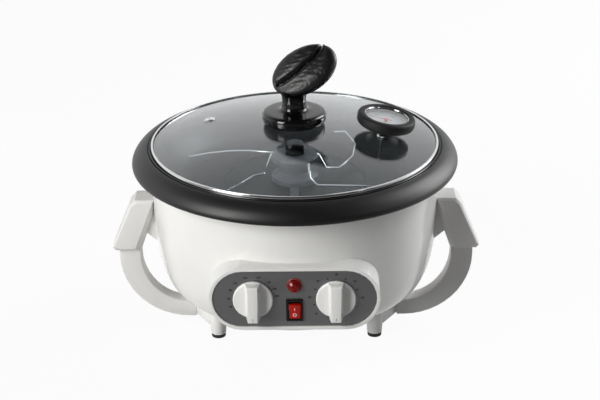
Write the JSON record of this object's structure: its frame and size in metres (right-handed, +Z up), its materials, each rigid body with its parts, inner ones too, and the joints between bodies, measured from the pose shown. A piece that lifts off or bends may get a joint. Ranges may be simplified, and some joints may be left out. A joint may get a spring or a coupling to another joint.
{
  "type": "home coffee bean roaster",
  "caption": "Countertop bean roaster: white bowl on four legs, black rim, stirred pan, glass lid with bean-shaped knob, thermometer and vent, dials, lamp and switch in front.",
  "frame": {"origin": "on the floor, under the middle of the outline", "axes": "+X to the right, +Y to the back, +Z up; the control panel faces -Y"},
  "size_m": [0.3514, 0.3134, 0.276],
  "materials": {
    "outer_casing": "gloss enamel",
    "control_housing": "satin moulding",
    "control_panel": "gloss grey print",
    "rim_ring": "gloss",
    "roasting_pan": "dark non-stick coating",
    "shaft_bush": "turned",
    "heating_element": "satin",
    "heat_reflector": "mill",
    "bottom_plate": "satin",
    "motor_bracket": "satin",
    "gearbox_housing": "satin",
    "gear_motor": "satin",
    "thermostat_body": "satin",
    "timer_body": "satin",
    "lamp_lens": "translucent gloss",
    "lamp_body": "satin",
    "switch_housing": "matt",
    "cord_gland": "matt",
    "left_leg_bracket": "satin moulding",
    "left_front_foot": "matt",
    "left_rear_foot": "matt",
    "left_handle_arm": "satin moulding",
    "left_handle_grip": "satin moulding",
    "left_handle_screw": "satin",
    "right_leg_bracket": "satin moulding",
    "right_front_foot": "matt",
    "right_rear_foot": "matt",
    "right_handle_arm": "satin moulding",
    "right_handle_grip": "satin moulding",
    "right_handle_screw": "satin",
    "drive_shaft": "satin",
    "drive_gear": "satin",
    "stirrer_hub": "satin",
    "stirrer_cap_nut": "gloss",
    "stirrer_wire_1": "polished",
    "stirrer_wire_2": "polished",
    "stirrer_wire_3": "polished",
    "stirrer_wire_4": "polished",
    "stirrer_blade": "polished",
    "motor_pinion": "turned",
    "temperature_knob": "satin moulding",
    "temperature_shaft": "satin",
    "timer_knob": "satin moulding",
    "timer_shaft": "satin",
    "switch_rocker": "translucent gloss",
    "lid_glass": "clear",
    "lid_steel_rim": "polished",
    "lid_knob_base": "gloss",
    "lid_knob_bean": "matt",
    "lid_knob_screw": "polished",
    "lid_vent_eyelet": "polished",
    "thermometer_seat": "gloss",
    "thermometer_case": "matt",
    "thermometer_dial": "printed white",
    "thermometer_crystal": "clear",
    "thermometer_probe": "polished",
    "thermometer_nut": "polished",
    "thermometer_needle": "red paint"
  },
  "bodies": {
    "base": {"outer_casing": "outer_casing", "control_housing": "control_housing", "control_panel": "control_panel", "rim_ring": "rim_ring", "roasting_pan": "roasting_pan", "shaft_bush": "shaft_bush", "heating_element": "heating_element", "heat_reflector": "heat_reflector", "bottom_plate": "bottom_plate", "motor_bracket": "motor_bracket", "gearbox_housing": "gearbox_housing", "gear_motor": "gear_motor", "thermostat_body": "thermostat_body", "timer_body": "timer_body", "lamp_lens": "lamp_lens", "lamp_body": "lamp_body", "switch_housing": "switch_housing", "cord_gland": "cord_gland", "left_leg_bracket": "left_leg_bracket", "left_front_foot": "left_front_foot", "left_rear_foot": "left_rear_foot", "left_handle_arm": "left_handle_arm", "left_handle_grip": "left_handle_grip", "left_handle_screw": "left_handle_screw", "right_leg_bracket": "right_leg_bracket", "right_front_foot": "right_front_foot", "right_rear_foot": "right_rear_foot", "right_handle_arm": "right_handle_arm", "right_handle_grip": "right_handle_grip", "right_handle_screw": "right_handle_screw"},
    "stirrer": {"drive_shaft": "drive_shaft", "drive_gear": "drive_gear", "stirrer_hub": "stirrer_hub", "stirrer_cap_nut": "stirrer_cap_nut", "stirrer_wire_1": "stirrer_wire_1", "stirrer_wire_2": "stirrer_wire_2", "stirrer_wire_3": "stirrer_wire_3", "stirrer_wire_4": "stirrer_wire_4", "stirrer_blade": "stirrer_blade"},
    "pinion": {"motor_pinion": "motor_pinion"},
    "temperature_dial": {"temperature_knob": "temperature_knob", "temperature_shaft": "temperature_shaft"},
    "timer_dial": {"timer_knob": "timer_knob", "timer_shaft": "timer_shaft"},
    "switch": {"switch_rocker": "switch_rocker"},
    "lid": {"lid_glass": "lid_glass", "lid_steel_rim": "lid_steel_rim", "lid_knob_base": "lid_knob_base", "lid_knob_bean": "lid_knob_bean", "lid_knob_screw": "lid_knob_screw", "lid_vent_eyelet": "lid_vent_eyelet", "thermometer_seat": "thermometer_seat", "thermometer_case": "thermometer_case", "thermometer_dial": "thermometer_dial", "thermometer_crystal": "thermometer_crystal", "thermometer_probe": "thermometer_probe", "thermometer_nut": "thermometer_nut"},
    "needle": {"thermometer_needle": "thermometer_needle"}
  },
  "joints": [
    {"name": "stirrer_spin", "type": "hinge", "parent": "base", "child": "stirrer", "pos_m": [0, 0.0017, 0.15], "axis": [0, 0, 1], "continuous": true},
    {"name": "pinion_spin", "type": "hinge", "parent": "base", "child": "pinion", "pos_m": [0.024, 0.0017, 0.095], "axis": [0, 0, 1], "continuous": true},
    {"name": "temperature_turn", "type": "hinge", "parent": "base", "child": "temperature_dial", "pos_m": [-0.037, -0.1483, 0.0905], "axis": [0, 1, 0], "range_deg": [0, 270]},
    {"name": "timer_turn", "type": "hinge", "parent": "base", "child": "timer_dial", "pos_m": [0.037, -0.1483, 0.0905], "axis": [0, 1, 0], "range_deg": [0, 270]},
    {"name": "switch_rock", "type": "hinge", "parent": "base", "child": "switch", "pos_m": [0, -0.1432, 0.0791], "axis": [-1, 0, 0], "range_deg": [0, 24]},
    {"name": "lid_lift", "type": "slide", "parent": "base", "child": "lid", "axis": [0, 0, 1], "range_m": [0, 0.12]},
    {"name": "needle_turn", "type": "hinge", "parent": "lid", "child": "needle", "pos_m": [0.08383, -0.01038, 0.19522], "axis": [-0.1734, 0.025, -0.9845], "range_deg": [-54, 216]}
  ],
  "couplings": [
    {"joint": "pinion_spin", "follows": "stirrer_spin", "ratio": -3}
  ]
}
